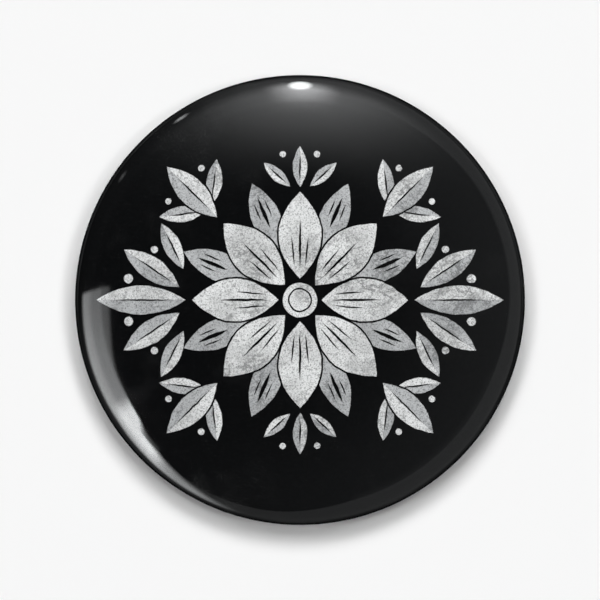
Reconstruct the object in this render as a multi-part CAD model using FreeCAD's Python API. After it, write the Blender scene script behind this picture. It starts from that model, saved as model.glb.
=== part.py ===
import FreeCAD, Part
import math
import os

from FreeCAD import Vector

# Pin-back button badge, upright as it is worn: X across, Y from the face (-Y) to the garment (+Y), Z up.
# The origin is the centre of the flat ring at the back of the rim, which lies against the garment.
# Sizes are in millimetres and degrees.

# Outside of the finished badge, measured over the clear film
BADGE_DIAMETER = 58.0
FACE_DOME_RADIUS = 150.0
EDGE_ROLL_RADIUS = 3.0
SKIRT_HEIGHT = 0.4
CRIMP_ROLL_RADIUS = 1.3
CRIMP_LAND_WIDTH = 0.6

# Sheets from the outside in, and how far each runs on past the crimp's last bend
FILM_THICKNESS = 0.10
FILM_TUCK = 1.5
PRINT_THICKNESS = 0.15
PRINT_TUCK = 1.3
SHELL_THICKNESS = 0.26
SHELL_TUCK = 0.5
LAYER_GAP = 0.04

# Pressed back plate
PLATE_THICKNESS = 0.26
PLATE_FIT_GAP = 0.04
PLATE_BEND_RADIUS = 0.55
PLATE_LAND_RECESS = 0.8
PLATE_LAND_WIDTH = 2.2
DISH_DEPTH = 3.4
DISH_WALL_RUN = 1.1
FLANGE_FLARE_HEIGHT = 0.9
FLANGE_FLARE = 0.5
FLANGE_SEAT_GAP = 0.1
GROOVE_INSET = 3.4
GROOVE_WIDTH = 1.8
GROOVE_DEPTH = 0.35
GROOVE_WALL_RUN = 0.5

# Spring wire: a hairpin whose fixed leg is held on the plate and whose free leg is the pin
WIRE_DIAMETER = 0.9
WIRE_SEAT_GAP = 0.03
LEG_SPACING = 5.0
ARM_STANDOFF = 1.5
HAIRPIN_CLEARANCE = 0.6
FLEX_BALL_RADIUS = 0.6
FLEX_GAP = 0.04
TIP_CLEARANCE = 2.6
POINT_LENGTH = 4.0
POINT_RADIUS = 0.06
FOOT_BEND_RADIUS = 1.0
FOOT_REACH = 0.5
FOOT_HOLE_GAP = 0.12

# Way in which the pin leaves its catch, turned from straight out of the plate towards the top
EXIT_TILT = 50.0

# Lanced straps over the fixed leg
STRAP_WIDTH = 3.6
STRAP_TOP_HALF = 0.95
STRAP_FOOT_HALF = 1.75
STRAP_FIRST = 5.0
STRAP_PITCH = 10.5
STRAP_BEND_RADIUS = 0.4
STRAP_TAIL = 0.5
FOOT_AFTER_STRAP = 3.4

# Lanced hook that catches the pin
HOOK_WIDTH = 4.2
HOOK_SETBACK = 0.8
HOOK_CLEARANCE = 0.6
HOOK_DROP = 2.0
HOOK_LIP = 1.2
HOOK_BEND_RADIUS = 0.5
HOOK_TAIL = 0.5
HOOK_CORNER_RADIUS = 0.9
LANCE_GAP = 0.15
LANCE_CORNER_RADIUS = 0.3

# Section of the rim
badge_radius = BADGE_DIAMETER / 2
crimp_y = -CRIMP_ROLL_RADIUS
edge_y = crimp_y - SKIRT_HEIGHT
edge_r = badge_radius - EDGE_ROLL_RADIUS
crimp_outer_r = badge_radius - CRIMP_ROLL_RADIUS
crimp_inner_r = crimp_outer_r - CRIMP_LAND_WIDTH
mouth_radius = crimp_inner_r - CRIMP_ROLL_RADIUS
dome_y = edge_y + math.sqrt((FACE_DOME_RADIUS - EDGE_ROLL_RADIUS) ** 2 - edge_r ** 2)
dome_edge_angle = math.asin(edge_r / (FACE_DOME_RADIUS - EDGE_ROLL_RADIUS))
print_depth = FILM_THICKNESS + LAYER_GAP
shell_depth = print_depth + PRINT_THICKNESS + LAYER_GAP
inside_depth = shell_depth + SHELL_THICKNESS

# Section of the plate, along the middle of its sheet
plate_half = PLATE_THICKNESS / 2
flange_r = mouth_radius - PLATE_FIT_GAP - plate_half
land_y = -PLATE_LAND_RECESS - plate_half
floor_y = -DISH_DEPTH
floor_mid_y = floor_y - plate_half
dish_r = flange_r - PLATE_LAND_WIDTH - DISH_WALL_RUN
groove_outer_r = dish_r - GROOVE_INSET + GROOVE_WIDTH / 2
groove_inner_r = groove_outer_r - GROOVE_WIDTH

# Lines of the wire
wire_radius = WIRE_DIAMETER / 2
leg_y = floor_y + wire_radius + WIRE_SEAT_GAP
arm_y = floor_y + ARM_STANDOFF
leg_z = LEG_SPACING / 2
arm_z = -LEG_SPACING / 2
hairpin_radius = math.hypot(LEG_SPACING, arm_y - leg_y) / 2
bend_x = -(dish_r - HAIRPIN_CLEARANCE - wire_radius - hairpin_radius)
flex_x = bend_x
tip_x = dish_r - TIP_CLEARANCE
point_x = tip_x - POINT_LENGTH
strap_xs = [bend_x + STRAP_FIRST, bend_x + STRAP_FIRST + STRAP_PITCH]
foot_x = strap_xs[-1] + FOOT_AFTER_STRAP
hook_x = point_x - HOOK_SETBACK - HOOK_WIDTH / 2
exit_y = math.cos(math.radians(EXIT_TILT))
exit_z = math.sin(math.radians(EXIT_TILT))


def section_point(r, y):
    return Vector(r, y, 0)


def polar_point(centre_r, centre_y, radius, angle):
    """A point of a rim arc, with the angle turned from the face's normal towards the rim."""
    return section_point(centre_r + radius * math.sin(angle), centre_y - radius * math.cos(angle))


def arc_edge(centre_r, centre_y, radius, start, end):
    angles = (start, (start + end) / 2, end)
    return Part.Arc(*[polar_point(centre_r, centre_y, radius, a) for a in angles]).toShape()


def join_edges(edges):
    """Fills the gaps between edges that follow each other with straight lines, and closes the loop."""
    loop = []
    for i, edge in enumerate(edges):
        following = edges[(i + 1) % len(edges)]
        loop.append(edge)
        start = edge.lastVertex(True).Point
        end = following.firstVertex(True).Point
        if start.distanceToPoint(end) > 1e-7:
            loop.append(Part.makeLine(start, end))
    return Part.Wire(loop)


def rim_edges(depth, tuck):
    """The badge's section at a depth below its outside, from the axis round the rim to the tucked end."""
    quarter = math.pi / 2
    roll = CRIMP_ROLL_RADIUS - depth
    straight_r = mouth_radius + depth
    return [
        arc_edge(0, dome_y, FACE_DOME_RADIUS - depth, 0, dome_edge_angle),
        arc_edge(edge_r, edge_y, EDGE_ROLL_RADIUS - depth, dome_edge_angle, quarter),
        arc_edge(crimp_outer_r, crimp_y, roll, quarter, 2 * quarter),
        arc_edge(crimp_inner_r, crimp_y, roll, 2 * quarter, 3 * quarter),
        Part.makeLine(section_point(straight_r, crimp_y), section_point(straight_r, crimp_y - tuck)),
    ]


def reversed_edge(edge):
    curve = edge.Curve.copy()
    curve.reverse()
    first, last = edge.ParameterRange
    return curve.toShape(curve.parameter(edge.valueAt(last)), curve.parameter(edge.valueAt(first)))


def turned(face):
    solid = face.revolve(Vector(0, 0, 0), Vector(0, 1, 0), 360)
    return solid if solid.Volume > 0 else solid.reversed()


def rim_layer(depth, thickness, tuck):
    """One sheet of the face, pressed over the dome and curled round the rim."""
    outside = rim_edges(depth, tuck)
    inside = [reversed_edge(e) for e in reversed(rim_edges(depth + thickness, tuck))]
    return turned(Part.Face(join_edges(outside + inside)))


def bent_sheet(corners, bend_radius, thickness, place):
    """The face of a sheet of even thickness: straight runs joined by bends, set in space by place."""
    half = thickness / 2
    points = [Vector(a, b, 0) for a, b in corners]
    runs = [(q - p).normalize() for p, q in zip(points, points[1:])]
    normals = [Vector(-d.y, d.x, 0) for d in runs]

    def side_edges(side):
        start = points[0] + normals[0] * (side * half)
        edges = []
        for i in range(1, len(points) - 1):
            turn = math.atan2(runs[i - 1].cross(runs[i]).z, runs[i - 1].dot(runs[i]))
            tangent = bend_radius * math.tan(abs(turn) / 2)
            bend_in = points[i] - runs[i - 1] * tangent
            bend_out = points[i] + runs[i] * tangent
            centre = bend_in + normals[i - 1] * math.copysign(bend_radius, turn)
            radius = bend_radius - side * math.copysign(half, turn)
            arc_start = bend_in + normals[i - 1] * (side * half)
            arc_mid = centre + (points[i] - centre).normalize() * radius
            arc_end = bend_out + normals[i] * (side * half)
            edges.append((start, arc_start))
            edges.append((arc_start, arc_mid, arc_end))
            start = arc_end
        edges.append((start, points[-1] + normals[-1] * (side * half)))
        return edges

    loop = side_edges(1) + [tuple(reversed(e)) for e in reversed(side_edges(-1))]
    shapes = []
    for edge in loop:
        ends = [place(p.x, p.y) for p in edge]
        shapes.append(Part.Arc(*ends).toShape() if len(ends) == 3 else Part.makeLine(*ends))
    return Part.Face(join_edges(shapes))


def inside_of_shell(r):
    """Y of the shell's inner face on its dome, at a distance r from the axis."""
    return dome_y - math.sqrt((FACE_DOME_RADIUS - inside_depth) ** 2 - r ** 2)


def round_cornered_cutter(x_low, x_high, z_low, z_high, corner):
    """A prism through the floor of the dish with rounded corners."""
    depth = 3 * PLATE_THICKNESS
    start_y = floor_mid_y - depth / 2
    block = Part.makeBox(x_high - x_low, depth, z_high - z_low, Vector(x_low, start_y, z_low))
    upright = [e for e in block.Edges if abs(e.tangentAt(e.FirstParameter).y) > 0.9]
    return block.makeFillet(corner, upright)


def plate_blank():
    """The pressed dish with its land, its forward flange and the flared edge behind the crimp."""
    flare_r = flange_r + FLANGE_FLARE
    seat_y = inside_of_shell(flare_r + plate_half) + FLANGE_SEAT_GAP + plate_half
    corners = [
        (0, floor_mid_y),
        (groove_inner_r, floor_mid_y),
        (groove_inner_r + GROOVE_WALL_RUN, floor_mid_y - GROOVE_DEPTH),
        (groove_outer_r - GROOVE_WALL_RUN, floor_mid_y - GROOVE_DEPTH),
        (groove_outer_r, floor_mid_y),
        (dish_r, floor_mid_y),
        (dish_r + DISH_WALL_RUN, land_y),
        (flange_r, land_y),
        (flange_r, seat_y + FLANGE_FLARE_HEIGHT),
        (flare_r, seat_y),
    ]
    return turned(bent_sheet(corners, PLATE_BEND_RADIUS, PLATE_THICKNESS, section_point))


def strap(x_middle):
    """A strip lanced out of the floor and bowed over the fixed leg."""
    rise = PLATE_THICKNESS + WIRE_DIAMETER + 2 * WIRE_SEAT_GAP
    corners = [
        (leg_z - STRAP_FOOT_HALF - STRAP_TAIL, 0),
        (leg_z - STRAP_FOOT_HALF, 0),
        (leg_z - STRAP_TOP_HALF, rise),
        (leg_z + STRAP_TOP_HALF, rise),
        (leg_z + STRAP_FOOT_HALF, 0),
        (leg_z + STRAP_FOOT_HALF + STRAP_TAIL, 0),
    ]
    x_low = x_middle - STRAP_WIDTH / 2
    face = bent_sheet(
        corners, STRAP_BEND_RADIUS, PLATE_THICKNESS, lambda z, h: Vector(x_low, floor_mid_y + h, z)
    )
    return face.extrude(Vector(STRAP_WIDTH, 0, 0))


def strap_window(x_middle):
    half = STRAP_WIDTH / 2 + LANCE_GAP
    z_low = leg_z - STRAP_FOOT_HALF
    z_high = leg_z + STRAP_FOOT_HALF
    return round_cornered_cutter(x_middle - half, x_middle + half, z_low, z_high, LANCE_CORNER_RADIUS)


def hook_corners():
    """The hook's run: up from the floor below the pin, then over it along the way the pin leaves."""
    reach = wire_radius + HOOK_CLEARANCE + plate_half
    beside_z = arm_z - reach * exit_y
    beside_h = arm_y - floor_mid_y + reach * exit_z
    root_z = beside_z - HOOK_DROP
    knee_h = beside_h - HOOK_DROP * exit_y / exit_z
    lip = (beside_z + HOOK_LIP * exit_z, beside_h + HOOK_LIP * exit_y)
    tail_z = root_z - HOOK_BEND_RADIUS - HOOK_TAIL
    return [(tail_z, 0), (root_z, 0), (root_z, knee_h), lip]


def hook():
    corners = hook_corners()
    x_low = hook_x - HOOK_WIDTH / 2
    face = bent_sheet(
        corners, HOOK_BEND_RADIUS, PLATE_THICKNESS, lambda z, h: Vector(x_low, floor_mid_y + h, z)
    )
    bar = face.extrude(Vector(HOOK_WIDTH, 0, 0))
    lip_z, lip_h = corners[-1]
    lip_point = Vector(hook_x, floor_mid_y + lip_h, lip_z)
    through = Vector(0, exit_z, -exit_y)
    corner_edges = [
        e
        for e in bar.Edges
        if abs(abs(e.tangentAt(e.FirstParameter).dot(through)) - 1) < 1e-6
        and abs((e.CenterOfMass - lip_point).dot(Vector(0, exit_y, exit_z))) < 1e-6
    ]
    return bar.makeFillet(HOOK_CORNER_RADIUS, corner_edges)


def hook_window():
    """The gap that the hook leaves in the floor, as long as the hook was before it was bent up."""
    corners = hook_corners()
    runs = [math.dist(p, q) for p, q in zip(corners[1:], corners[2:])]
    root_z = corners[1][0]
    half = HOOK_WIDTH / 2 + LANCE_GAP
    low_z = root_z + plate_half
    return round_cornered_cutter(
        hook_x - half, hook_x + half, low_z, root_z + sum(runs), LANCE_CORNER_RADIUS
    )


def foot_hole():
    half = wire_radius + FOOT_HOLE_GAP
    return round_cornered_cutter(
        foot_x - FOOT_BEND_RADIUS - half, foot_x + half, leg_z - half, leg_z + half, half * 0.9
    )


def back_plate():
    plate = plate_blank()
    for x in strap_xs:
        plate = plate.cut(strap_window(x))
    plate = plate.cut(hook_window()).cut(foot_hole())
    formed = [strap(x) for x in strap_xs] + [hook()]
    return plate.fuse(formed).removeSplitter()


def wire_disc(centre, normal):
    circle = Part.Circle(centre, normal, wire_radius)
    return Part.Face(Part.Wire(circle.toShape()))


def pin_wire_anchor():
    """The fixed leg with its foot through the plate, and the hairpin bend with its hollow end."""
    along = Vector(1, 0, 0)
    leg_end = Vector(foot_x - FOOT_BEND_RADIUS, leg_y, leg_z)
    leg_start = Vector(bend_x, leg_y, leg_z)
    bend_end = Vector(bend_x, arm_y, arm_z)
    leg = wire_disc(leg_start, along).extrude(leg_end - leg_start)
    bend_axis = (bend_end - leg_start).cross(along).normalize()
    hairpin = wire_disc(leg_start, along).revolve((leg_start + bend_end) * 0.5, bend_axis, 180)
    foot_centre = leg_end + Vector(0, -FOOT_BEND_RADIUS, 0)
    foot_bend = wire_disc(leg_end, along).revolve(foot_centre, Vector(0, 0, -1), 90)
    foot_top = foot_centre + Vector(FOOT_BEND_RADIUS, 0, 0)
    foot = wire_disc(foot_top, Vector(0, -1, 0)).extrude(Vector(0, -FOOT_REACH, 0))
    wire = leg.fuse([hairpin, foot_bend, foot]).removeSplitter()
    seat = Part.makeSphere(FLEX_BALL_RADIUS + FLEX_GAP, Vector(flex_x, arm_y, arm_z))
    return wire.cut(seat)


def pin_wire_arm():
    """The pin: a rounded inner end in the bend's seat, a straight shank and a ground point."""
    cap_back = -math.sqrt(FLEX_BALL_RADIUS ** 2 - wire_radius ** 2)
    half_angle = math.asin(wire_radius / FLEX_BALL_RADIUS) / 2
    cap_mid = Vector(-FLEX_BALL_RADIUS * math.cos(half_angle), FLEX_BALL_RADIUS * math.sin(half_angle), 0)
    shank_end = point_x - flex_x
    tip_end = tip_x - flex_x
    cap = Part.Arc(Vector(-FLEX_BALL_RADIUS, 0, 0), cap_mid, Vector(cap_back, wire_radius, 0)).toShape()
    outline = [
        Vector(cap_back, wire_radius, 0),
        Vector(shank_end, wire_radius, 0),
        Vector(tip_end, POINT_RADIUS, 0),
        Vector(tip_end, 0, 0),
        Vector(-FLEX_BALL_RADIUS, 0, 0),
    ]
    lines = [Part.makeLine(p, q) for p, q in zip(outline, outline[1:])]
    section = Part.Face(Part.Wire([cap] + lines))
    pin = section.revolve(Vector(0, 0, 0), Vector(1, 0, 0), 360)
    pin = pin if pin.Volume > 0 else pin.reversed()
    pin.translate(Vector(flex_x, arm_y, arm_z))
    return pin


def main():
    nodes = {
        "clear_film": rim_layer(0, FILM_THICKNESS, FILM_TUCK),
        "print_disc": rim_layer(print_depth, PRINT_THICKNESS, PRINT_TUCK),
        "front_shell": rim_layer(shell_depth, SHELL_THICKNESS, SHELL_TUCK),
        "back_plate": back_plate(),
        "pin_wire_anchor": pin_wire_anchor(),
        "pin_wire_arm": pin_wire_arm(),
    }
    os.makedirs("parts", exist_ok=True)
    for name, shape in nodes.items():
        shape.exportStep(os.path.join("parts", name + ".step"))
        box = shape.BoundBox
        print(
            f"{name}: valid {shape.isValid()}, {len(shape.Solids)} solid, {shape.Volume:.2f} mm3, "
            f"{box.XLength:.2f} x {box.YLength:.2f} x {box.ZLength:.2f}"
        )
    print(f"pin turns at ({flex_x:.3f}, {arm_y:.3f}, {arm_z:.3f}) about (0, {-exit_z:.5f}, {exit_y:.5f})")
    print(f"pin shank from {flex_x:.3f} to {point_x:.3f}, tip at {tip_x:.3f}")


main()
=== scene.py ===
import math
import random

import bmesh
import bpy
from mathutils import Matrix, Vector


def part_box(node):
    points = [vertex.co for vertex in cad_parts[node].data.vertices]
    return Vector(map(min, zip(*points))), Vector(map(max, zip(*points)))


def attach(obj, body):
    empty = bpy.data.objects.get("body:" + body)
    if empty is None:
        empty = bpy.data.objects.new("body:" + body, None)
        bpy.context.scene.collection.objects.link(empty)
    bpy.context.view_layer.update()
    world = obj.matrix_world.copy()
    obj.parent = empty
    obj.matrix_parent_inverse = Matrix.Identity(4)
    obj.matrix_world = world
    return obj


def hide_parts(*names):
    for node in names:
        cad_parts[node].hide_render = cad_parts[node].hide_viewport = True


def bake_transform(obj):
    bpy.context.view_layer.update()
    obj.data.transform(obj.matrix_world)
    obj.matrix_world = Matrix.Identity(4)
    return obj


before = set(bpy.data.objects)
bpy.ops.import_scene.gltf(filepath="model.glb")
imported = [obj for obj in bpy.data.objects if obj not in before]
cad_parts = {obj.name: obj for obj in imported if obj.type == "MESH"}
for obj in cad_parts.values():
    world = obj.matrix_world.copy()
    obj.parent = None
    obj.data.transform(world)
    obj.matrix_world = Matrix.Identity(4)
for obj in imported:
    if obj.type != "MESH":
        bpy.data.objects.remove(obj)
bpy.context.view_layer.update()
mm = 0.001
touching = 1e-6  # points closer than this are one point
print("frame loaded:", sorted(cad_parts))


class Sock:  # an output of a node, so that maths on it can be written as maths
    def __init__(self, paint, plug):
        self.paint = paint
        self.plug = plug

    def maths(self, operation, *values):
        return self.paint.node("Math", {"operation": operation}, dict(enumerate(values)))

    def other(self, name):  # another output of the same node
        return Sock(self.paint, self.plug.node.outputs[name])

    def __add__(self, value):
        return self.maths("ADD", self, value)

    def __radd__(self, value):
        return self.maths("ADD", value, self)

    def __sub__(self, value):
        return self.maths("SUBTRACT", self, value)

    def __rsub__(self, value):
        return self.maths("SUBTRACT", value, self)

    def __mul__(self, value):
        return self.maths("MULTIPLY", self, value)

    def __rmul__(self, value):
        return self.maths("MULTIPLY", value, self)

    def __truediv__(self, value):
        return self.maths("DIVIDE", self, value)

    def __rtruediv__(self, value):
        return self.maths("DIVIDE", value, self)

    def __pow__(self, value):
        return self.maths("POWER", self, value)

    def __neg__(self):
        return self.maths("MULTIPLY", self, -1)

    def __abs__(self):
        return self.maths("ABSOLUTE", self)

    def atMost(self, value):
        return self.maths("MINIMUM", self, value)

    def atLeast(self, value):
        return self.maths("MAXIMUM", self, value)

    def sin(self):
        return self.maths("SINE", self)

    def cos(self):
        return self.maths("COSINE", self)

    def arccos(self):
        return self.maths("ARCCOSINE", self)

    def root(self):
        return self.maths("SQRT", self)

    def wrap(self, low, high):
        return self.maths("WRAP", self, high, low)

    def fade(self, low, high):  # 0 at low, 1 at high, smooth between
        steps = {"interpolation_type": "SMOOTHSTEP", "clamp": True}
        return self.paint.node("MapRange", steps, {"Value": self, "From Min": low, "From Max": high})


class Paint:  # a node tree with one way to add a node
    def __init__(self, tree):
        self.tree = tree
        self.tree.nodes.clear()

    def node(self, kind, settings=None, inputs=None, out=0):
        made = self.tree.nodes.new("ShaderNode" + kind)
        for key, value in (settings or {}).items():
            setattr(made, key, value)
        for key, value in (inputs or {}).items():
            if isinstance(value, Sock):
                self.tree.links.new(value.plug, made.inputs[key])
            else:
                made.inputs[key].default_value = value
        return Sock(self, made.outputs[out]) if made.outputs else None

    def place(self):
        return self.node("TexCoord", out="Object")

    def split(self, vector):
        x = self.node("SeparateXYZ", inputs={"Vector": vector})
        return x, x.other("Y"), x.other("Z")

    def stretch(self, vector, scale):
        return self.node("VectorMath", {"operation": "MULTIPLY"}, {0: vector, 1: scale})

    def turnedPlace(self, vector, angle):  # turned round the badge's axis
        values = {"Vector": vector, "Axis": (0, 1, 0), "Angle": math.radians(angle)}
        return self.node("VectorRotate", inputs=values)

    def noise(self, vector, scale, detail=3.0, roughness=0.55):
        values = {"Vector": vector, "Scale": scale, "Detail": detail, "Roughness": roughness}
        return self.node("TexNoise", inputs=values, out="Fac")

    def mix(self, share, first, second):
        return self.node("Mix", {"data_type": "RGBA"}, {0: share, 6: first, 7: second}, out=2)

    def bump(self, height, distance, strength=1.0):
        values = {"Height": height, "Distance": distance, "Strength": strength}
        return self.node("Bump", inputs=values)

    def headOn(self, start, end, least):  # 1 where a surface is seen head on, least where edge on
        edgeOn = self.node("LayerWeight", inputs={"Blend": 0.5}, out="Facing")
        return 1 - (1 - least) * edgeOn.fade(start, end)

    def finish(self, kind, shader):
        self.node(kind, inputs={0: shader})


def newPaint(name):
    material = bpy.data.materials.new(name)
    material.use_nodes = True
    return material, Paint(material.node_tree)


def grey(level, tint=0.0):  # a screen level from 0 to 255 as linear colour, a touch blue, or warm below 0
    value = level / 255
    linear = ((value + 0.055) / 1.055) ** 2.4 if value > 0.04 else value / 12.92
    return (linear * (1 - tint), linear, linear * (1 + 1.6 * tint), 1.0)


shading = {"sharpFrom": 50, "plateSharpFrom": 32, "flatWeight": 50}  # angles in degrees


def newPiece(name, mesh):
    piece = bpy.data.objects.new(name, mesh)
    bpy.context.scene.collection.objects.link(piece)
    return piece


def meshPiece(name, verts, faces):
    mesh = bpy.data.meshes.new(name)
    mesh.from_pydata(verts, [], faces)
    mesh.validate()
    mesh.shade_smooth()
    mesh.set_sharp_from_angle(angle=math.radians(shading["sharpFrom"]))
    return newPiece(name, mesh)


def evenShade(piece):  # bends shaded smoothly, flats kept flat and cut edges kept sharp
    piece.data.shade_smooth()
    piece.data.set_sharp_from_angle(angle=math.radians(shading["plateSharpFrom"]))
    weigh = piece.modifiers.new("evenShade", "WEIGHTED_NORMAL")
    weigh.mode = "FACE_AREA"
    weigh.weight = shading["flatWeight"]
    weigh.keep_sharp = True


def tubeFaces(rings, count):  # the faces between closed rings of points
    faces = []
    for i in range(rings - 1):
        here = i * count
        there = here + count
        for j in range(count):
            k = (j + 1) % count
            faces.append((here + j, here + k, there + k, there + j))
    return faces


# The badge's section, as the press leaves it. Radii are at the outside of the film.
badge = {
    "radius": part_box("clear_film")[1][0],
    "domeRadius": 150.0 * mm,
    "edgeRoll": 3.0 * mm,
    "skirt": 0.4 * mm,
    "crimpRoll": 1.3 * mm,
    "crimpLand": 0.6 * mm,
    "segments": 600,
    "domeRings": 22,
    "rollRings": 18,
}
# The film is bonded to the print, so it is a thin skin here and the black reaches the outline
film = {"depth": 0.0, "thickness": 0.03 * mm, "tuck": 1.5 * mm}
paper = {"depth": 0.04 * mm, "thickness": 0.25 * mm, "tuck": 1.3 * mm}
pleats = {
    "count": 78,
    "depth": 0.028 * mm,
    "stray": 0.4,
    "narrow": 0.6,  # half widths in degrees
    "wide": 1.7,
    "shallow": 0.3,
    "start": 1.15,  # in quarter turns of the sheet's normal
    "rise": 0.7,
    "seed": 5,
}


def pleatDepths(segments):  # how far the gathered sheets sink at each segment, 0 to 1
    chance = random.Random(pleats["seed"])
    depths = [0.0] * segments
    for k in range(pleats["count"]):
        middle = (k + chance.uniform(-pleats["stray"], pleats["stray"])) / pleats["count"] * segments
        half = chance.uniform(pleats["narrow"], pleats["wide"]) / 360 * segments
        deep = chance.uniform(pleats["shallow"], 1.0)
        for j in range(math.floor(middle - half), math.ceil(middle + half) + 1):
            away = min(1.0, abs(j - middle) / half)
            sink = deep * (0.5 + 0.5 * math.cos(math.pi * away))
            depths[j % segments] = max(depths[j % segments], sink)
    return depths


def rimPath(depth, tuck):  # (r, y, angle of the normal, share of the pleats), axis to tucked end
    b = badge
    edgeR = b["radius"] - b["edgeRoll"]
    crimpY = -b["crimpRoll"]
    edgeY = crimpY - b["skirt"]
    reach = b["domeRadius"] - b["edgeRoll"]
    domeEdge = math.asin(edgeR / reach)
    domeY = edgeY + math.sqrt(reach**2 - edgeR**2)
    outerR = b["radius"] - b["crimpRoll"]
    innerR = outerR - b["crimpLand"]
    quarter = math.pi / 2
    roll = b["crimpRoll"] - depth
    arcs = [
        (0.0, domeY, b["domeRadius"] - depth, 0.0, domeEdge, b["domeRings"]),
        (edgeR, edgeY, b["edgeRoll"] - depth, domeEdge, quarter, b["rollRings"]),
        (outerR, crimpY, roll, quarter, 2 * quarter, b["rollRings"]),
        (innerR, crimpY, roll, 2 * quarter, 3 * quarter, b["rollRings"]),
    ]
    path = []
    for number, (r, y, radius, start, end, rings) in enumerate(arcs):
        first = 1 if number == 1 else 0  # the edge's first ring is the dome's last
        for i in range(first, rings + 1):
            turn = start + (end - start) * i / rings
            share = (turn - pleats["start"] * quarter) / (pleats["rise"] * quarter)
            share = min(1.0, max(0.0, share))
            path.append((r + radius * math.sin(turn), y - radius * math.cos(turn), turn, share))
    path.append((path[-1][0], crimpY - tuck, 3 * quarter, 1.0))
    return path


def pressedSheet(name, sheet):  # a closed sheet turned round the Y axis, its tucked edge in pleats
    outside = rimPath(sheet["depth"], sheet["tuck"])
    inside = rimPath(sheet["depth"] + sheet["thickness"], sheet["tuck"])
    path = outside[1:] + inside[:0:-1]
    segments = badge["segments"]
    sinks = pleatDepths(segments)
    verts = []
    for r, y, turn, share in path:
        for j in range(segments):
            sink = sinks[j] * share * pleats["depth"]
            ringR = r - sink * math.sin(turn)
            ringY = y + sink * math.cos(turn)
            around = 2 * math.pi * j / segments
            verts.append((ringR * math.cos(around), ringY, ringR * math.sin(around)))
    faces = tubeFaces(len(path), segments)
    last = (len(path) - 1) * segments
    front = len(verts)
    verts.append((0.0, outside[0][1], 0.0))
    verts.append((0.0, inside[0][1], 0.0))
    for j in range(segments):
        k = (j + 1) % segments
        faces.append((front, k, j))
        faces.append((front + 1, last + j, last + k))
    return meshPiece(name, verts, faces)


# The spring wire's line, read from its two nodes
anchorLow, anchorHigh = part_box("pin_wire_anchor")
armLow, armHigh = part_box("pin_wire_arm")
wire = {
    "radius": (armHigh[2] - armLow[2]) / 2,
    "armY": (armHigh[1] + armLow[1]) / 2,
    "armZ": (armHigh[2] + armLow[2]) / 2,
    "legDrop": 1.02 * mm,
    "footBend": 1.0 * mm,
    "footEase": ((0.0, 0.72), (0.06 * mm, 0.93), (0.14 * mm, 1.0)),  # how far in, share of the radius
    "pointLength": 4.0 * mm,
    "pointRadius": 0.05 * mm,
    "pointCurve": 1.25,
    "sides": 32,
    "footSteps": 12,
    "legSteps": 9,
    "bendSteps": 48,
    "armSteps": 40,
    "pointSteps": 12,
    "flexStart": -1.5 * mm,
    "flexEnd": 1.3 * mm,
    "flexLean": 0.1,
}
wire["legY"] = wire["armY"] - wire["legDrop"]
wire["legZ"] = anchorHigh[2] - wire["radius"]
wire["footX"] = anchorHigh[0] - wire["radius"]
wire["pointX"] = armHigh[0] - wire["pointLength"]
wire["halfSpan"] = Vector((0, wire["legDrop"], wire["armZ"] - wire["legZ"])) / 2
wire["bendX"] = anchorLow[0] + wire["radius"] + wire["halfSpan"].length


def wirePath():  # points from the foot to the tip, each with the wire's radius there
    w = wire
    radius, legY, legZ, armY, armZ = w["radius"], w["legY"], w["legZ"], w["armY"], w["armZ"]
    bend, footX, bendX, pointX = w["footBend"], w["footX"], w["bendX"], w["pointX"]
    half = w["halfSpan"]
    middle = Vector((bendX, (legY + armY) / 2, (legZ + armZ) / 2))
    path = []
    for step, share in w["footEase"]:
        path.append((Vector((footX, anchorLow[1] + step, legZ)), radius * share))
    for i in range(w["footSteps"] + 1):
        turn = math.pi / 2 * i / w["footSteps"]
        x = footX - bend * (1 - math.cos(turn))
        path.append((Vector((x, legY - bend + bend * math.sin(turn), legZ)), radius))
    for i in range(1, w["legSteps"]):
        share = i / w["legSteps"]
        path.append((Vector((footX - bend + (bendX - footX + bend) * share, legY, legZ)), radius))
    for i in range(w["bendSteps"] + 1):
        turn = math.pi * i / w["bendSteps"]
        side = Vector((-half.length * math.sin(turn), 0, 0)) - half * math.cos(turn)
        path.append((middle + side, radius))
    for i in range(1, w["armSteps"] + 1):
        path.append((Vector((bendX + (pointX - bendX) * i / w["armSteps"], armY, armZ)), radius))
    for i in range(1, w["pointSteps"] + 1):
        share = i / w["pointSteps"]
        thin = w["pointRadius"] + (radius - w["pointRadius"]) * (1 - share ** w["pointCurve"])
        path.append((Vector((pointX + w["pointLength"] * share, armY, armZ)), thin))
    return path


def sweptWire(name):
    path = wirePath()
    sides = wire["sides"]
    verts = []
    across = Vector((0, 0, 1))
    for i, (point, radius) in enumerate(path):
        before = path[max(0, i - 1)][0]
        after = path[min(len(path) - 1, i + 1)][0]
        along = (after - before).normalized()
        across = (across - along * across.dot(along)).normalized()
        up = along.cross(across)
        for j in range(sides):
            around = 2 * math.pi * j / sides
            verts.append(point + (across * math.cos(around) + up * math.sin(around)) * radius)
    faces = tubeFaces(len(path), sides)
    last = (len(path) - 1) * sides
    faces.append(tuple(range(sides - 1, -1, -1)))
    faces.append(tuple(last + j for j in range(sides)))
    return meshPiece(name, verts, faces)


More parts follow.
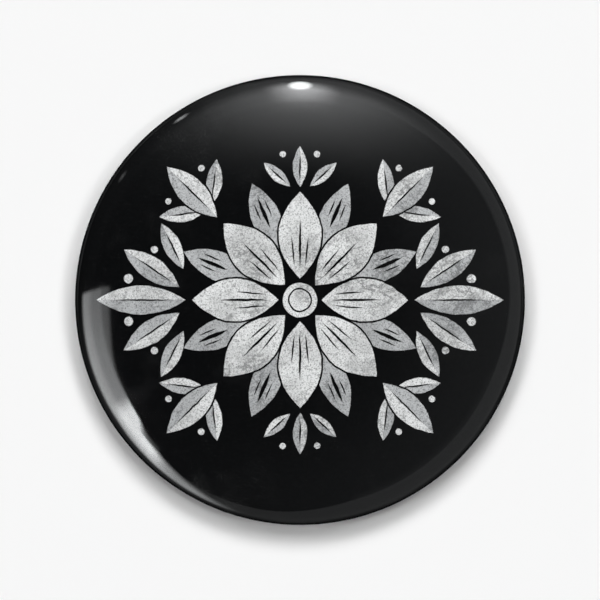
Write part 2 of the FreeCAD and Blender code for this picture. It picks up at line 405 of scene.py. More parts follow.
# The pressed back plate, given at the middle of its sheet: a floor with lanced windows, and rings round it
plate = {
    "sheet": 0.26 * mm,
    "bend": 0.55 * mm,
    "floorY": -3.53 * mm,
    "joinR": 17.0 * mm,
    "grooveInner": 18.03 * mm,
    "grooveOuter": 19.83 * mm,
    "grooveDepth": 0.35 * mm,
    "grooveWall": 0.5 * mm,
    "dishR": 22.33 * mm,
    "dishWall": 1.1 * mm,
    "landY": -0.93 * mm,
    "flangeR": 25.63 * mm,
    "flare": 0.5 * mm,
    "flareHeight": 0.9 * mm,
    "edgeY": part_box("back_plate")[0][1],
    "edgeLift": 0.1 * mm,
    "burr": 0.025 * mm,
    "stripThin": 0.002 * mm,  # keeps a strip's faces off the floor's own
    "segments": 360,
    "bendSteps": 7,
    "cornerSteps": 8,
}
strap = {
    "width": 3.6 * mm,
    "topHalf": 0.95 * mm,
    "footHalf": 1.75 * mm,
    "rise": 1.22 * mm,
    "bend": 0.4 * mm,
    "places": (wire["bendX"] + 5.0 * mm, wire["bendX"] + 15.5 * mm),
}
hook = {
    "width": 4.2 * mm,
    "bend": 0.5 * mm,
    "corner": 0.9 * mm,
    "setBack": 2.9 * mm,
    "root": -2.758 * mm,
    "knee": 0.856 * mm,
    "lip": (0.161 * mm, 3.305 * mm),
}
lance = {"gap": 0.15 * mm, "corner": 0.3 * mm, "tail": 0.5 * mm, "footGap": 0.12 * mm, "footRound": 0.9}


def bentLine(corners, bend, offset, steps):  # straight runs joined by bends, moved sideways
    points = [Vector(c) for c in corners]
    runs = [(q - p).normalized() for p, q in zip(points, points[1:])]
    line = [points[0] + runs[0].orthogonal() * offset]
    for point, before, after in zip(points[1:], runs, runs[1:]):
        turn = math.atan2(before.cross(after), before.dot(after))
        side = math.copysign(1.0, turn)
        spoke = -side * before.orthogonal()
        centre = point - before * bend * math.tan(abs(turn) / 2) - spoke * bend
        for k in range(steps + 1):
            c, s = math.cos(turn * k / steps), math.sin(turn * k / steps)
            swung = Vector((spoke.x * c - spoke.y * s, spoke.x * s + spoke.y * c))
            line.append(centre + swung * (bend - side * offset))
    line.append(points[-1] + runs[-1].orthogonal() * offset)
    return line


def plateRings():  # the groove, wall, land and flange, open where they meet the floor
    b = plate
    floorY, grooveY, edgeY = b["floorY"], b["floorY"] - b["grooveDepth"], b["edgeY"] + b["edgeLift"]
    corners = [
        (b["joinR"], floorY),
        (b["grooveInner"], floorY),
        (b["grooveInner"] + b["grooveWall"], grooveY),
        (b["grooveOuter"] - b["grooveWall"], grooveY),
        (b["grooveOuter"], floorY),
        (b["dishR"], floorY),
        (b["dishR"] + b["dishWall"], b["landY"]),
        (b["flangeR"], b["landY"]),
        (b["flangeR"], edgeY + b["flareHeight"]),
        (b["flangeR"] + b["flare"], edgeY),
    ]
    half = b["sheet"] / 2
    path = bentLine(corners, b["bend"], half, b["bendSteps"])
    path += bentLine(corners, b["bend"], -half, b["bendSteps"])[::-1]
    segments = b["segments"]
    verts = []
    for r, y in path:
        for j in range(segments):
            around = 2 * math.pi * j / segments
            verts.append((r * math.cos(around), y, r * math.sin(around)))
    return verts, tubeFaces(len(path), segments)


def prism(outline, low, high):  # an outline in x and z, made solid from one y to another
    count = len(outline)
    verts = [(x, low, z) for x, z in outline] + [(x, high, z) for x, z in outline]
    faces = [tuple(range(count)), tuple(range(2 * count - 1, count - 1, -1))]
    faces += [(j, count + j, count + (j + 1) % count, (j + 1) % count) for j in range(count)]
    return verts, faces


def roundedBox(xLow, xHigh, zLow, zHigh, corner, steps=6):
    outline = []
    for turn, x, z in (
        (0.0, xHigh - corner, zHigh - corner),
        (90.0, xLow + corner, zHigh - corner),
        (180.0, xLow + corner, zLow + corner),
        (270.0, xHigh - corner, zLow + corner),
    ):
        for k in range(steps + 1):
            around = math.radians(turn + 90 * k / steps)
            outline.append((x + corner * math.cos(around), z + corner * math.sin(around)))
    return outline


def strip(corners, bend, middleX, width, corner):  # a lanced strip, its end corners rounded if asked
    half = plate["sheet"] / 2 - plate["stripThin"]
    upper = bentLine(corners, bend, half, plate["bendSteps"])
    lower = bentLine(corners, bend, -half, plate["bendSteps"])
    widths = [width / 2] * len(upper)
    if corner:
        tops, bottoms = upper[-2:], lower[-2:]
        length = (tops[1] - tops[0]).length
        upper, lower, widths = upper[:-1], lower[:-1], widths[:-1]
        for k in range(plate["cornerSteps"] + 1):
            turn = math.pi / 2 * k / plate["cornerSteps"]
            share = 1 - corner * (1 - math.sin(turn)) / length
            upper.append(tops[0].lerp(tops[1], share))
            lower.append(bottoms[0].lerp(bottoms[1], share))
            widths.append(width / 2 - corner * (1 - math.cos(turn)))
    ease = plate["burr"]
    verts = []
    for up, down, w in zip(upper, lower, widths):
        across = (up - down).normalized() * ease
        ring = [(-w, down + across), (-w, up - across), (ease - w, up), (w - ease, up)]
        ring += [(w, up - across), (w, down + across), (w - ease, down), (ease - w, down)]
        verts += [(middleX + x, point.y, point.x) for x, point in ring]
    count = len(ring)
    faces = [tuple(range(count)), tuple(len(verts) - 1 - j for j in range(count))]
    for i in range(len(upper) - 1):
        here = i * count
        there = here + count
        for j in range(count):
            k = (j + 1) % count
            faces.append((here + j, there + j, there + k, here + k))
    return verts, faces


def solidPiece(name, verts, faces):
    mesh = bpy.data.meshes.new(name)
    mesh.from_pydata(verts, [], faces)
    shape = bmesh.new()
    shape.from_mesh(mesh)
    bmesh.ops.recalc_face_normals(shape, faces=shape.faces)
    shape.to_mesh(mesh)
    shape.free()
    return newPiece(name, mesh)


def lancedWindows(hookX, rootZ):  # low and high x, low and high z and corner of each opening in the floor
    legZ = wire["legZ"]
    foot = strap["footHalf"]
    windows = []
    reach = strap["width"] / 2 + lance["gap"]
    for x in strap["places"]:
        windows.append((x - reach, x + reach, legZ - foot, legZ + foot, lance["corner"]))
    reach = hook["width"] / 2 + lance["gap"]
    lowZ = rootZ + plate["sheet"] / 2
    highZ = rootZ + hook["knee"] + math.dist((hook["root"], hook["knee"]), hook["lip"])
    windows.append((hookX - reach, hookX + reach, lowZ, highZ, lance["corner"]))
    reach = wire["radius"] + lance["footGap"]
    lowX = wire["footX"] - wire["footBend"] - reach
    highX = wire["footX"] + reach
    windows.append((lowX, highX, legZ - reach, legZ + reach, lance["footRound"] * reach))
    return windows


def pressedPlate(name):
    b = plate
    half = b["sheet"] / 2
    floorY = b["floorY"]
    legZ = wire["legZ"]
    armZ = wire["armZ"]
    hookX = wire["pointX"] - hook["setBack"]
    rootZ = armZ + hook["root"]
    circle = [2 * math.pi * j / b["segments"] for j in range(b["segments"])]
    disc = [(b["joinR"] * math.cos(a), b["joinR"] * math.sin(a)) for a in circle]
    floor = solidPiece("floor", *prism(disc, floorY - half, floorY + half))
    tools = []
    for window in lancedWindows(hookX, rootZ):
        cutter = prism(roundedBox(*window), floorY - 3 * half, floorY + 3 * half)
        tools.append(("DIFFERENCE", solidPiece("lance", *cutter)))
    foot, top, rise = strap["footHalf"], strap["topHalf"], floorY + strap["rise"]
    for x in strap["places"]:
        corners = [
            (legZ - foot - lance["tail"], floorY),
            (legZ - foot, floorY),
            (legZ - top, rise),
            (legZ + top, rise),
            (legZ + foot, floorY),
            (legZ + foot + lance["tail"], floorY),
        ]
        raised = strip(corners, strap["bend"], x, strap["width"], 0.0)
        tools.append(("UNION", solidPiece("strap", *raised)))
    corners = [
        (rootZ - hook["bend"] - lance["tail"], floorY),
        (rootZ, floorY),
        (rootZ, floorY + hook["knee"]),
        (armZ + hook["lip"][0], floorY + hook["lip"][1]),
    ]
    raised = strip(corners, hook["bend"], hookX, hook["width"], hook["corner"])
    tools.append(("UNION", solidPiece("hook", *raised)))
    for operation, tool in tools:
        join = floor.modifiers.new(tool.name, "BOOLEAN")
        join.operation = operation
        join.object = tool
        join.solver = "EXACT"
    formed = floor.evaluated_get(bpy.context.evaluated_depsgraph_get()).to_mesh()
    shape = bmesh.new()
    shape.from_mesh(formed)

    def onRim(face):
        return all(math.hypot(v.co.x, v.co.z) > b["joinR"] - touching for v in face.verts)

    rim = [f for f in shape.faces if onRim(f) and abs(f.normal.y) < 0.5]
    bmesh.ops.delete(shape, geom=rim, context="FACES")
    rings = bpy.data.meshes.new("rings")
    ringVerts, ringFaces = plateRings()
    rings.from_pydata(ringVerts, [], ringFaces)
    shape.from_mesh(rings)
    bmesh.ops.remove_doubles(shape, verts=shape.verts, dist=touching)
    bmesh.ops.recalc_face_normals(shape, faces=shape.faces)
    mesh = bpy.data.meshes.new(name)
    shape.to_mesh(mesh)
    shape.free()
    for operation, tool in tools:
        bpy.data.objects.remove(tool)
    bpy.data.objects.remove(floor)
    piece = newPiece(name, mesh)
    evenShade(piece)
    return piece


# The printed face: a folk flower with sprays of leaves, in worn silver greys on black. Sizes are in
# millimetres, and a leaf is given by its start, length and half width along its own line.
art = {
    "black": (0.0034, 0.0036, 0.0039, 1.0),
    "rubbedBlack": (0.0048, 0.0050, 0.0054, 1.0),
    "light": grey(249, -0.004),
    "chalk": grey(193, -0.004),
    "dull": grey(206, 0.006),
    "dim": grey(160, 0.006),
    "scuff": grey(96, 0.005),
    "soft": 0.09,
    "outline": 0.2,
    "wobble": 0.26,
    "shake": (700.0, 3.0),
    "sway": (820.0, 3.0),
    "ribStart": 0.08,  # shares of a leaf's length
    "ribLength": 0.78,
    "ribHalf": 0.16,
    "petals": 8,
    "petal": (2.7, 11.2, 2.8),
    "petalRib": (3.6, 7.2, 0.2),
    "petalSideRib": (4.0, 4.6, 0.15),
    "petalSideGap": 0.78,
    "petalSideFrom": 5.0,
    "petalSideSpread": 0.09,
    "sepal": (6.2, 10.0, 1.9),
    "sepalRib": (9.8, 4.6, 0.3),
    "sepalSideRib": (11.0, 2.9, 0.15),
    "sepalSideGap": 0.75,
    "boss": 2.25,
    "bossRing": 1.45,
    "bossLine": 0.15,
    "sprayX": 13.0,
    "sprayLeaf": (1.6, 11.6, 1.9),
    "spraySides": ((34, (2.9, 8.7, 1.5)), (64, (4.4, 6.6, 1.15))),  # angle and leaf
    "sprayDots": ((17, 9.4, 0.62), (49, 8.6, 0.5)),  # angle, reach and radius
    "sprigZ": 13.4,
    "sprigLeaf": (1.0, 5.4, 0.95),
    "sprigSide": (48, (1.7, 4.6, 0.8)),
    "sprigDot": (5.3, 2.2, 0.45),  # along, beside and radius
    "shootLeaf": (15.0, 9.2, 1.75),
    "shootSide": (52, (0.6, 6.1, 1.05)),
    "shootSideStart": 16.2,
    "shootDot": (20.9, 3.0, 0.45),
}
# The print's wear: the scale, detail and roughness of each noise, and how much ink each mark takes off
wearMarks = {
    "cloud": (240.0, 5.0, 0.62),
    "patch": (130.0, 3.0, 0.5),
    "grain": (2600.0, 3.0, 0.6),
    "pepper": (5600.0, 2.0, 0.6),
    "rub": (330.0, 4.0, 0.6),
    "rubTurn": 38.0,
    "rubStretch": (0.45, 1.0, 1.6),
    "crease": (420.0, 5.0, 0.62),
    "creaseStretch": (1.0, 1.0, 1.5),
    "scuffWear": 0.7,
    "smearWear": 0.6,
    "grainWear": 0.5,
    "pepperWear": 0.6,
}
# The coat's gloss: the slant at which it starts and ends to fall off, and what is left of it then
gloss = {
    "roughness": 0.03,
    "index": 1.76,
    "face": (0.03, 0.15, 0.12),
    "edge": (0.44, 0.76, 0.05),
    "edgeStart": 26.4 * mm,
    "edgeEnd": 27.0 * mm,
}


def leafMask(leaf, along, beside):  # a pointed leaf along one axis
    start, length, halfWidth = leaf
    share = (along - start) / length
    return (share * (1 - share) * (4 * halfWidth) - abs(beside)).fade(0.0, art["soft"])


def grownMask(leaf, along, beside):  # a leaf with its outline, to keep other ink off
    start, length, halfWidth = leaf
    edge = art["outline"]
    return leafMask((start - 2.0 * edge, length + 4.0 * edge, halfWidth + 1.2 * edge), along, beside)


def dotMask(radius, along, beside):
    return (radius - (along * along + beside * beside).root()).fade(0.0, art["soft"])


def turned(angle, x, z):  # lengths along and beside a line at an angle
    c, s = math.cos(math.radians(angle)), math.sin(math.radians(angle))
    return x * c + z * s, z * c - x * s


def joined(masks):
    whole = masks[0]
    for mask in masks[1:]:
        whole = whole.atLeast(mask)
    return whole


def folkMasks(paint, place):  # where the light grey and the dull grey are printed
    x, z = paint.split(place)[::2]
    shake = paint.noise(place, *art["shake"]) - 0.5
    sway = paint.noise(place, *art["sway"]) - 0.5
    x = x / mm + shake * art["wobble"]
    z = z / mm + sway * art["wobble"]
    radius = (x * x + z * z).root()
    turn = x.maths("ARCTAN2", z, x)
    light = []
    dull = []

    def sector(offset):  # lengths along and beside the middle line of each petal's sector
        step = 2 * math.pi / art["petals"]
        inside = (turn - offset * step).wrap(-step / 2, step / 2)
        return radius * inside.cos(), radius * inside.sin()

    def veinedLeaf(shape, along, beside, keepOff=0.0):  # light on one side of its rib, dull on the other
        start, length = shape[:2]
        ribShape = (start + art["ribStart"] * length, art["ribLength"] * length, art["ribHalf"])
        leaf = leafMask(shape, along, beside)
        rib = leafMask(ribShape, along, beside)
        side = beside.fade(-0.02, 0.02)
        leaf = leaf * (1 - rib) * (1 - keepOff)
        light.append(leaf * side)
        dull.append(leaf * (1 - side))

    along, beside = sector(0.0)
    petal = leafMask(art["petal"], along, beside)
    petalGrown = grownMask(art["petal"], along, beside)
    rib = leafMask(art["petalRib"], along, beside)
    spread = (along - art["petalSideFrom"]) * art["petalSideSpread"]
    sideRib = leafMask(art["petalSideRib"], along, abs(beside) - art["petalSideGap"] - spread)
    light.append(petal * (1 - rib) * (1 - sideRib))
    along, beside = sector(0.5)
    sepal = leafMask(art["sepal"], along, beside) * (1 - petalGrown)
    hatch = leafMask(art["sepalRib"], along, beside)
    hatch = hatch.atLeast(leafMask(art["sepalSideRib"], along, abs(beside) - art["sepalSideGap"]))
    dull.append(sepal * (1 - hatch))
    boss = (art["boss"] - radius).fade(0.0, art["soft"])
    ring = (art["bossLine"] - abs(radius - art["bossRing"])).fade(0.0, art["soft"])
    light.append(boss * (1 - ring))

    outX = abs(x) - art["sprayX"]
    upZ = abs(z)
    veinedLeaf(art["sprayLeaf"], outX, z)
    for angle, leaf in art["spraySides"]:
        along, beside = turned(angle, outX, upZ)
        veinedLeaf(leaf, along, beside)
    for angle, reach, size in art["sprayDots"]:
        along, beside = turned(angle, outX, upZ)
        light.append(dotMask(size, along - reach, beside))

    upSprig = upZ - art["sprigZ"]
    veinedLeaf(art["sprigLeaf"], upSprig, x)
    angle, leaf = art["sprigSide"]
    along, beside = turned(angle, upSprig, abs(x))
    veinedLeaf(leaf, along, beside)
    reach, aside, size = art["sprigDot"]
    light.append(dotMask(size, upSprig - reach, abs(x) - aside))

    along, beside = turned(45, abs(x), upZ)  # a shoot on each diagonal
    veinedLeaf(art["shootLeaf"], along, beside)
    shootGrown = grownMask(art["shootLeaf"], along, beside)
    angle, leaf = art["shootSide"]
    sideAlong, sideBeside = turned(angle, along - art["shootSideStart"], abs(beside))
    veinedLeaf(leaf, sideAlong, sideBeside, shootGrown)
    reach, aside, size = art["shootDot"]
    light.append(dotMask(size, along - reach, abs(beside) - aside))
    return joined(light), joined(dull)


def printedPaper():
    material, paint = newPaint("printedPaper")
    place = paint.place()
    light, dull = folkMasks(paint, place)
    w = wearMarks
    cloud = paint.noise(place, *w["cloud"])
    patch = paint.noise(place, *w["patch"])
    grain = paint.noise(place, *w["grain"])
    pepper = paint.noise(place, *w["pepper"])
    rubbed = paint.stretch(paint.turnedPlace(place, w["rubTurn"]), w["rubStretch"])
    rubbed = paint.noise(rubbed, *w["rub"])
    crease = abs(paint.noise(paint.stretch(place, w["creaseStretch"]), *w["crease"]) - 0.5)
    scuffs = (1 - crease.fade(0.0, 0.045)) * patch.fade(0.46, 0.62)
    smears = (rubbed * 0.7 + grain * 0.3).fade(0.53, 0.64) * patch.fade(0.4, 0.56)
    speckle = grain.fade(0.47, 0.66) * 0.45 + pepper.fade(0.46, 0.62) * 0.75
    x, y, z = paint.split(place)
    frontOnly = 1 - y.fade(-3.0 * mm, -2.4 * mm)
    tone = paint.mix(cloud.fade(0.36, 0.62) * 0.5 + speckle * 0.8, art["light"], art["chalk"])
    dullTone = paint.mix(cloud.fade(0.4, 0.62) * 0.4 + speckle * 0.9, art["dull"], art["dim"])
    inkTone = paint.mix(dull, tone, dullTone)
    wear = (scuffs * w["scuffWear"]).atLeast(smears * w["smearWear"])
    wear = wear.atLeast(grain.fade(0.58, 0.7) * w["grainWear"])
    wear = wear.atLeast(pepper.fade(0.58, 0.68) * w["pepperWear"])
    inkTone = paint.mix(wear, inkTone, art["scuff"])
    cover = light.atLeast(dull) * frontOnly * (0.88 + 0.12 * grain.fade(0.34, 0.5))
    black = paint.mix(grain.fade(0.3, 0.75), art["black"], art["rubbedBlack"])
    colour = paint.mix(cover, black, inkTone)
    # worn gloss doesn't flare where it is seen at a slant, and the face loses it before the rolled edge
    rolled = (x * x + z * z).root().fade(gloss["edgeStart"], gloss["edgeEnd"])
    faceGloss = paint.headOn(*gloss["face"])
    edgeGloss = paint.headOn(*gloss["edge"])
    shader = paint.node(
        "BsdfPrincipled",
        inputs={
            "Base Color": colour,
            "Roughness": 0.55 + grain * 0.25,
            "Specular IOR Level": 0.0,
            "Coat Weight": faceGloss + (edgeGloss - faceGloss) * rolled,
            "Coat Roughness": gloss["roughness"],
            "Coat IOR": gloss["index"],
        },
    )
    paint.finish("OutputMaterial", shader)
    return material


# The film's haze: its noises and the share of the light that each one takes
filmMarks = {
    "tint": (0.985, 0.99, 0.992, 1),
    "smudge": (120.0, 4.0, 0.6),
    "smudgeHaze": 0.008,
    "hair": (700.0, 2.0, 0.5),
    "hairStretch": (1.0, 1.0, 9.0),
    "hairHaze": 0.006,
    "hairDepth": 0.006 * mm,
}


def clearFilm():  # clear, with a faint haze of smudges and hairline marks on its outside
    material, paint = newPaint("clearFilm")
    place = paint.place()
    m = filmMarks
    smudge = paint.noise(place, *m["smudge"])
    hair = paint.noise(paint.stretch(place, m["hairStretch"]), *m["hair"])
    surface = paint.bump(hair, m["hairDepth"], 0.4)
    satin = {"Color": (1, 1, 1, 1), "Roughness": 0.3 + smudge * 0.2, "Normal": surface}
    haze = paint.node("BsdfGlossy", inputs=satin)
    clear = paint.node("BsdfTransparent", inputs={"Color": m["tint"]})
    facing = 1 - paint.node("NewGeometry", out="Backfacing")
    worn = smudge.fade(0.5, 0.8) * m["smudgeHaze"] + hair.fade(0.6, 0.8) * m["hairHaze"]
    shader = paint.node("MixShader", inputs={0: worn * facing, 1: clear, 2: haze})
    paint.finish("OutputMaterial", shader)
    return material


# Tinplate: colour, least and most roughness of each sheet, and its marks
tin = {
    "plate": ((0.72, 0.72, 0.715, 1.0), 0.12, 0.24),
    "shell": ((0.56, 0.565, 0.57, 1.0), 0.22, 0.4),
    "stained": 0.92,
    "cloud": (150.0, 4.0, 0.6),
    "rolled": (420.0, 4.0, 0.6),
    "rolledStretch": (1.0, 14.0, 14.0),
    "rolledDepth": 0.003,
    "buckle": (42.0, 1.0, 0.4),  # a pressed sheet's flat parts are never quite flat
    "buckleDepth": 0.7,
}


def tinplate(name, base, roughLow, roughHigh):
    material, paint = newPaint(name)
    place = paint.place()
    rolled = paint.noise(paint.stretch(place, tin["rolledStretch"]), *tin["rolled"])
    cloud = paint.noise(place, *tin["cloud"])
    buckle = paint.noise(place, *tin["buckle"])
    stained = tuple(tin["stained"] * c for c in base[:3]) + (1.0,)
    colour = paint.mix(cloud.fade(0.3, 0.7), base, stained)
    rough = roughLow + (roughHigh - roughLow) * (rolled * 0.6 + cloud * 0.6).fade(0.35, 0.85)
    surface = paint.bump(buckle * tin["buckleDepth"] + rolled * tin["rolledDepth"], 1.0 * mm)
    values = {"Base Color": colour, "Metallic": 1.0, "Roughness": rough, "Normal": surface}
    shader = paint.node("BsdfPrincipled", inputs=values)
    paint.finish("OutputMaterial", shader)
    return material


# Nickel plate: drawn along the wire, ground across at its point
nickel = {
    "drawn": (0.62, 0.60, 0.56, 1.0),
    "drawnMarks": (5200.0, 3.0, 0.6),
    "drawnStretch": (0.05, 1.0, 1.0),
    "ground": (0.66, 0.66, 0.66, 1.0),
    "groundMarks": (9000.0, 2.0, 0.6),
    "groundStretch": (1.0, 0.1, 0.1),
    "groundSoft": 0.2 * mm,
    "rough": 0.13,
    "markRough": 0.16,
    "groundRough": 0.08,
    "markDepth": 0.02 * mm,
}


def nickelWire():
    material, paint = newPaint("nickelWire")
    place = paint.place()
    x = paint.split(place)[0]
    drawn = paint.noise(paint.stretch(place, nickel["drawnStretch"]), *nickel["drawnMarks"])
    ground = paint.noise(paint.stretch(place, nickel["groundStretch"]), *nickel["groundMarks"])
    point = x.fade(wire["pointX"] - nickel["groundSoft"], wire["pointX"] + nickel["groundSoft"])
    marks = drawn + (ground - drawn) * point
    colour = paint.mix(point, nickel["drawn"], nickel["ground"])
    rough = nickel["rough"] + marks * nickel["markRough"] + point * nickel["groundRough"]
    surface = paint.bump(marks, nickel["markDepth"], 0.4)
    values = {"Base Color": colour, "Metallic": 1.0, "Roughness": rough, "Normal": surface}
    shader = paint.node("BsdfPrincipled", inputs=values)
    paint.finish("OutputMaterial", shader)
    return material


def dress(piece, material):
    piece.data.materials.clear()
    piece.data.materials.append(material)


printPiece = pressedSheet("printedDisc", paper)
dress(printPiece, printedPaper())
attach(printPiece, "badge")
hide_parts("print_disc")
filmPiece = pressedSheet("clearFilmSheet", film)
dress(filmPiece, clearFilm())
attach(filmPiece, "badge")
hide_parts("clear_film")
print("face pressed: film and print")

platePiece = pressedPlate("pressedPlate")
dress(platePiece, tinplate("plateTin", *tin["plate"]))
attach(platePiece, "badge")
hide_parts("back_plate")
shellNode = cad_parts["front_shell"]
shellNode.data.materials.clear()
shellNode.data.materials.append(tinplate("shellTin", *tin["shell"]))
wirePiece = sweptWire("springWire")
dress(wirePiece, nickelWire())
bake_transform(wirePiece)
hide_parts("pin_wire_anchor", "pin_wire_arm")
print("back dressed: plate, shell and wire")

# The studio: a white wall just behind the rim, a tent whose panels the gloss mirrors, and soft lamps
studio = {
    "wallGap": 0.4 * mm,
    "wallSize": 0.5,
    "wallClear": 60.0 * mm,
    "wallEnd": 200.0 * mm,
    # the wall's colours above and below: painted light, whiter below to make up for the lamps' fall-off
    # there
    "wallHigh": (0.9183, 0.9183, 0.9183, 1),
    "wallLowPaintedLift": (0.9594, 0.9594, 0.9594, 1),
    "flagInner": 28.2 * mm,
    "flagOuter": 34.0 * mm,
    "flagPoints": 96,
    # the flag's faint glow: a painted dark reflection along the rim's edge
    "flagGrey": (0.08, 0.08, 0.08, 1),
    "tentRadius": 3.0,
    "tentSegments": 64,
    "tentRings": 32,
    "ambient": (0.04, 0.04, 0.04, 1),
    "air": (0.94, 0.94, 0.94, 1),
    "wallLight": 1.0,
    "lampDistance": 1.8,
    "lampSize": 0.5,
    # round from the right and out from the axis, in degrees, and share of the wall's light
    "lampArc": (
        (0, 30, 0.15),
        (42, 37, 0.13),
        (72, 42, 0.20),
        (99, 42, 0.20),
        (129, 37, 0.14),
        (177, 29, 0.16),
    ),
    "backLampPlace": (-0.75, 2.0, 1.5),
    "backLampSize": 1.5,
    "backLampPower": 30.0,
    "cameraDistance": 1.0,
    "sensor": 36.0,
    "framePixels": 600.0,
    "badgePixels": 449.7,
}


def wallPaint():  # white in front, clear from behind, and melting into the bright room far from the badge
    material, paint = newPaint("wall")
    x, z = paint.split(paint.place())[::2]
    high = paint.node("BsdfDiffuse", inputs={"Color": studio["wallHigh"]})
    low = paint.node("BsdfDiffuse", inputs={"Color": studio["wallLowPaintedLift"]})
    down = 1 - z.fade(-studio["wallClear"], studio["wallClear"])  # painted light: whiter low down, where the lamps light it less, so the wall comes out even
    white = paint.node("MixShader", inputs={0: down, 1: high, 2: low})
    clear = paint.node("BsdfTransparent")
    far = (x * x + z * z).root().fade(studio["wallClear"], studio["wallEnd"])
    behind = paint.node("NewGeometry", out="Backfacing")
    shader = paint.node("MixShader", inputs={0: behind.atLeast(far), 1: white, 2: clear})
    paint.finish("OutputMaterial", shader)
    return material


# The tent's panels, in degrees: polar is out from the face's axis, turn is round it from the right
roomPanel = {
    "inner": 22.0,
    "footTurn": 252.0,
    "footLift": 32.0,
    "rightTurn": 18.0,
    "rightLift": 9.0,
    "soft": 6.0,
    "rightSoft": 16.0,
    "lowTurn": 270.0,
    "lowReach": 8.0,
    "darkTurn": 150.0,
    "darkest": 0.01,
    "level": 0.15,
    "hazeTurn": 10.0,
    "haze": 0.05,
}


def roomLight(polar, turn, away):  # the darker room, and a haze that is strongest at the right
    p = roomPanel
    low = 1 - away(p["lowTurn"]).fade(30.0, 90.0)
    right = 1 - away(p["rightTurn"]).fade(8.0, 42.0)
    foot = 1 - away(p["footTurn"]).fade(6.0, 36.0)
    inner = p["inner"] + p["footLift"] * foot + p["rightLift"] * right
    room = ((polar - inner) / (p["soft"] + p["rightSoft"] * right)).fade(0.0, 1.0)
    room = room * (1 - (polar - p["lowReach"] * low).fade(102.0, 120.0))
    room = room * (p["darkest"] + p["level"] * away(p["darkTurn"]).fade(25.0, 60.0))
    haze = p["haze"] + p["haze"] * ((turn - p["hazeTurn"]) * math.radians(1)).cos()
    return room + haze * polar.fade(6.0, 24.0) * (1 - polar.fade(100.0, 116.0))


topPanel = {
    "glowTurn": 87.5,
    "glowNarrow": 10,
    "glowInner": 12.5,
    "glowRise": 9.3,
    "glowLeast": 0.2,
    "glow": 1.2,
    "haloTurn": 89.0,
    "haloHalf": 11.5,
    "haloInner": 3.3,
    "haloOuter": 1.4,
    "lampTurn": 90.0,
    "lampPolar": 66.0,
    "lampHalfWide": 3.0,
    "lampHalfTall": 23.0,
    "lamp": 11.0,
    "glints": ((123.2, 82.0, 3.0, 3.2), (145.2, 76.0, 2.4, 0.6)),  # turn, polar, half width, level
    "glintHalfTall": 14.0,
}


def topLight(polar, turn, away):  # over the top: a broad glow, a halo in it, the lamp itself and two glints
    p = topPanel
    crown = ((turn - p["glowTurn"]) * math.radians(1)).cos().atLeast(0.0) ** p["glowNarrow"]
    glow = ((polar - p["glowInner"]).atLeast(0.0) / p["glowRise"]).atMost(1.0) ** 2
    glow = glow * (p["glowLeast"] + p["glow"] * (1 - polar.fade(20.0, 95.0)))
    glow = glow * (1 - polar.fade(108.0, 150.0))
    halo = p["haloInner"] * polar.fade(20.0, 24.8) + p["haloOuter"] * polar.fade(22.0, 42.0)
    halo = halo * (1 - away(p["haloTurn"] + polar.fade(38.0, 60.0)).fade(0.0, p["haloHalf"]))
    halo = halo * (1 - polar.fade(42.0, 96.0))
    wide = away(p["lampTurn"]) / p["lampHalfWide"]
    tall = (polar - p["lampPolar"]) / p["lampHalfTall"]
    light = crown * glow + halo + p["lamp"] * (1 - (wide**2 + tall**2).root().fade(0.6, 1.3))
    for middle, height, halfWide, level in p["glints"]:
        wide = away(middle) / halfWide
        tall = (polar - height) / p["glintHalfTall"]
        light = light + level * (1 - (wide**2 + tall**2).root().fade(0.0, 1.0))
    return light


# At the left: a tall box, brighter near its foot, its inner edge slanting off to a tail
boxPanel = {
    "inner": 20.45,
    "tailTurn": 226.8,
    "tailSlope": 2.45,
    "soft": 0.5,
    "tailSoft": 31.5,
    "softTurn": 213.0,
    "outer": 81.8,
    "outerSoft": 13.0,
    "topSoft": 0.8,
    "level": 0.9,
    "innerRise": 0.75,
    "outerRise": 0.85,
    "foot": 6.3,
}


def boxLight(polar, turn):
    p = boxPanel
    inner = p["inner"] + 0.75 * turn.fade(183.0, 205.0) + 0.55 * turn.fade(206.0, 218.0)
    inner = inner + 1.3 * turn.fade(215.5, 222.5)
    inner = inner + p["tailSlope"] * (turn - p["tailTurn"]).atLeast(0.0)
    past = (turn - p["softTurn"]).atLeast(0.0)
    soft = p["soft"] + p["tailSoft"] * (past / 15.0).atMost(1.0) ** 3
    rise = ((polar - inner) / soft).fade(0.0, 1.0) ** (0.6 + 0.4 * turn.fade(229.0, 240.0))
    outer = p["outer"] + 7.5 * turn.fade(179.0, 199.0) + 0.55 * past
    gain = 1.0 + 0.42 * turn.fade(178.0, 200.0) + 0.2 * turn.fade(198.0, 214.0)
    gain = gain - 0.62 * turn.fade(227.0, 237.0) - turn.fade(238.0, 256.0)
    box = p["level"] + p["innerRise"] * polar.fade(21.0, 22.6) + p["outerRise"] * polar.fade(22.0, 60.0)
    foot = turn.fade(208.0, 214.0) * (1 - turn.fade(224.5, 231.5))
    foot = foot * (1 - (polar - 1.3 * (turn - 219.0).atLeast(0.0)).fade(34.0, 92.0))
    box = (box * gain + p["foot"] * foot) * rise
    box = box * (1 - (polar - outer).fade(-p["outerSoft"], p["outerSoft"]))
    top = (176.3 + 0.35 * (polar - 21.3)).atMost(177.3 + 0.021 * (polar - 24.2))
    return box * (turn - top).fade(-p["topSoft"], p["topSoft"])


rearPanel = {
    "start": 117.0,
    "full": 131.0,
    "least": 0.26,
    "pane": 1.0,
    "paneRate": 15.0,
    "paneLean": 6.0,
    "paneShift": 0.6,
    "ceiling": 0.5,
}


def rearLight(polar, x, z):  # behind, for the metal: a row of tall soft panes under a brighter ceiling
    p = rearPanel
    row = p["paneRate"] * x + p["paneLean"] * z + p["paneShift"]
    panes = (0.5 + 0.5 * row.sin()) ** 2
    light = p["least"] + p["pane"] * panes + p["ceiling"] * z.fade(-0.3, 0.7)
    return polar.fade(p["start"], p["full"]) * light


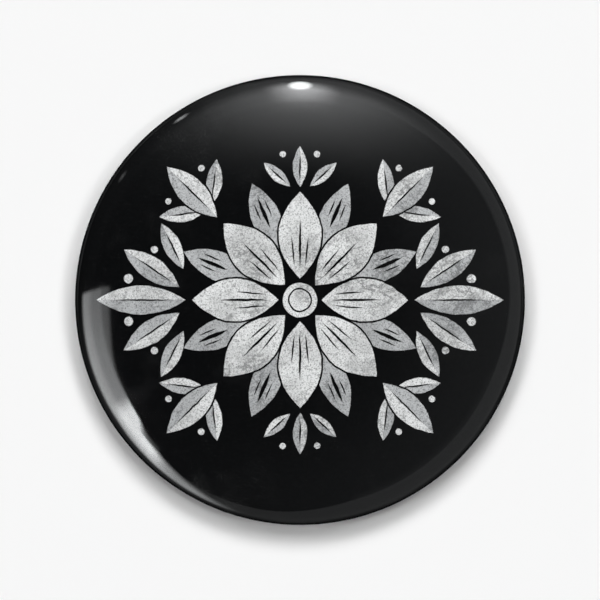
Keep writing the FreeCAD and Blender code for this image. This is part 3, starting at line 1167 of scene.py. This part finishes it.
def tentPaint():  # what the gloss sees
    material, paint = newPaint("tent")
    x, y, z = paint.split(paint.node("VectorMath", {"operation": "NORMALIZE"}, {0: paint.place()}))
    polar = (-y).arccos() * math.degrees(1)
    turn = (x.maths("ARCTAN2", z, x) * math.degrees(1)).wrap(0.0, 360.0)

    def away(middle):  # how far the turn is from a middle, either way
        return abs((turn - middle).wrap(-180.0, 180.0))

    level = roomLight(polar, turn, away) + topLight(polar, turn, away)
    level = level + boxLight(polar, turn) + rearLight(polar, x, z)
    paint.finish("OutputMaterial", paint.node("Emission", inputs={"Color": level, "Strength": 1.0}))
    return material


# the flag's faint grey glow, seen only in reflections as painted shade
def flagPaint():
    material, paint = newPaint("flag")
    paint.finish("OutputMaterial", paint.node("Emission", inputs={"Color": studio["flagGrey"]}))
    return material


def stagePiece(name, verts, faces, material):
    piece = meshPiece(name, verts, faces)
    piece.data.materials.append(material)
    return piece


half = studio["wallSize"] / 2
gap = studio["wallGap"]
corners = [(-half, gap, -half), (half, gap, -half), (half, gap, half), (-half, gap, half)]
wall = stagePiece("wall", corners, [(0, 1, 2, 3)], wallPaint())
wall.visible_shadow = False
wall.visible_glossy = False
wall.visible_diffuse = False

flagRing = []  # a dark card behind the rim, seen only by the gloss: it stands in for the shaded wall there, a painted reflection of shade that gives the rim its black edge
for flagRadius in (studio["flagInner"], studio["flagOuter"]):
    for i in range(studio["flagPoints"]):
        around = 2 * math.pi * i / studio["flagPoints"]
        flagRing.append((flagRadius * math.cos(around), gap, flagRadius * math.sin(around)))
flag = stagePiece("edgeFlag", flagRing, tubeFaces(2, studio["flagPoints"]), flagPaint())
flag.visible_camera = False
flag.visible_diffuse = False
flag.visible_shadow = False

bpy.ops.mesh.primitive_uv_sphere_add(
    segments=studio["tentSegments"], ring_count=studio["tentRings"], radius=studio["tentRadius"]
)
tent = bpy.context.object
tent.name = "tent"
tent.data.materials.append(tentPaint())
tent.visible_camera = False
tent.visible_diffuse = False
tent.visible_shadow = False
tent.visible_transmission = False

world = bpy.data.worlds.new("studio")
bpy.context.scene.world = world
world.use_nodes = True
sky = Paint(world.node_tree)
seen = sky.node("LightPath", out="Is Camera Ray")
seen = seen.atLeast(seen.other("Is Glossy Ray")).atLeast(seen.other("Is Transmission Ray"))
air = sky.mix(seen, studio["ambient"], studio["air"])
sky.finish("OutputWorld", sky.node("Background", inputs={"Color": air, "Strength": 1.0}))


def softLamp(name, place, size, power):
    lamp = bpy.data.lights.new(name, "AREA")
    lamp.shape = "DISK"
    lamp.size = size
    lamp.energy = power
    holder = bpy.data.objects.new(name, lamp)
    holder.location = place
    holder.rotation_mode = "QUATERNION"
    holder.rotation_quaternion = (-Vector(place)).to_track_quat("-Z", "Y")
    holder.visible_glossy = False
    bpy.context.scene.collection.objects.link(holder)


reach = studio["lampDistance"]
for k, (around, tilt, share) in enumerate(studio["lampArc"]):  # an arch over the badge
    around = math.radians(around)
    tilt = math.radians(tilt)
    toLamp = Vector((math.sin(tilt) * math.cos(around), -math.cos(tilt), math.sin(tilt) * math.sin(around)))
    power = studio["wallLight"] * share * (math.pi * reach) ** 2 / math.cos(tilt)
    softLamp(f"archLamp{k}", toLamp * reach, studio["lampSize"], power)
softLamp("backLamp", studio["backLampPlace"], studio["backLampSize"], studio["backLampPower"])
print("studio set")

cameraData = bpy.data.cameras.new("camera")
camera = bpy.data.objects.new("camera", cameraData)
bpy.context.scene.collection.objects.link(camera)
bpy.context.scene.camera = camera
frameWidth = 2 * badge["radius"] * studio["framePixels"] / studio["badgePixels"]
cameraData.sensor_width = studio["sensor"]
cameraData.lens = studio["sensor"] * studio["cameraDistance"] / frameWidth
camera.location = (0, -studio["cameraDistance"], 0)
camera.rotation_euler = (math.pi / 2, 0, 0)
bpy.context.scene.view_settings.view_transform = "Standard"
